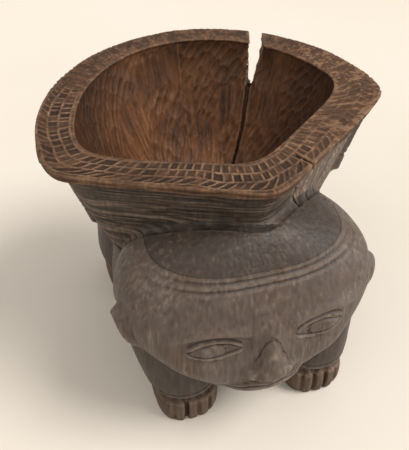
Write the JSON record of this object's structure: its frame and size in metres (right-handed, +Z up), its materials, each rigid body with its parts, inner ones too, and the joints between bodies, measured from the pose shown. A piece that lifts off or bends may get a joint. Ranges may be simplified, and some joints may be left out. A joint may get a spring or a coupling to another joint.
{
  "type": "carved wooden bowl",
  "caption": "Dark hardwood bowl with a patterned shield-shaped rim, split at the back, carved on the back of a squat figure with a plain face.",
  "frame": {"origin": "middle of the bounding box, on the surface that the feet stand on", "axes": "+Z up, the head looks along -Y, +X is the figure's left side"},
  "size_m": [0.2809, 0.294, 0.246],
  "materials": {
    "rim_wood": "dry hand-carved hardwood, tan worn ridges between dark cells",
    "bowl_wood": "adzed hardwood, warm brown inside and near black outside",
    "dark_wood": "smoothed and handled hardwood, dark brown with a soft sheen",
    "carved_wood": "knife-carved hardwood, grey-brown ridges with dark grooves",
    "foot_wood": "worn hardwood, brown with dark notches"
  },
  "bodies": {
    "root": {"body": "dark_wood", "bowl_floor": "bowl_wood", "bowl_wall": "bowl_wood", "crown": "dark_wood", "eye_left": "carved_wood", "eye_right": "carved_wood", "front_foot_left": "foot_wood", "front_foot_right": "foot_wood", "front_leg_left": "dark_wood", "front_leg_right": "dark_wood", "head": "carved_wood", "lug_left": "dark_wood", "lug_right": "dark_wood", "mouth": "carved_wood", "nose": "carved_wood", "rear_foot_left": "foot_wood", "rear_foot_right": "foot_wood", "rear_leg_left": "dark_wood", "rear_leg_right": "dark_wood", "rim_band": "rim_wood"}
  },
  "joints": []
}
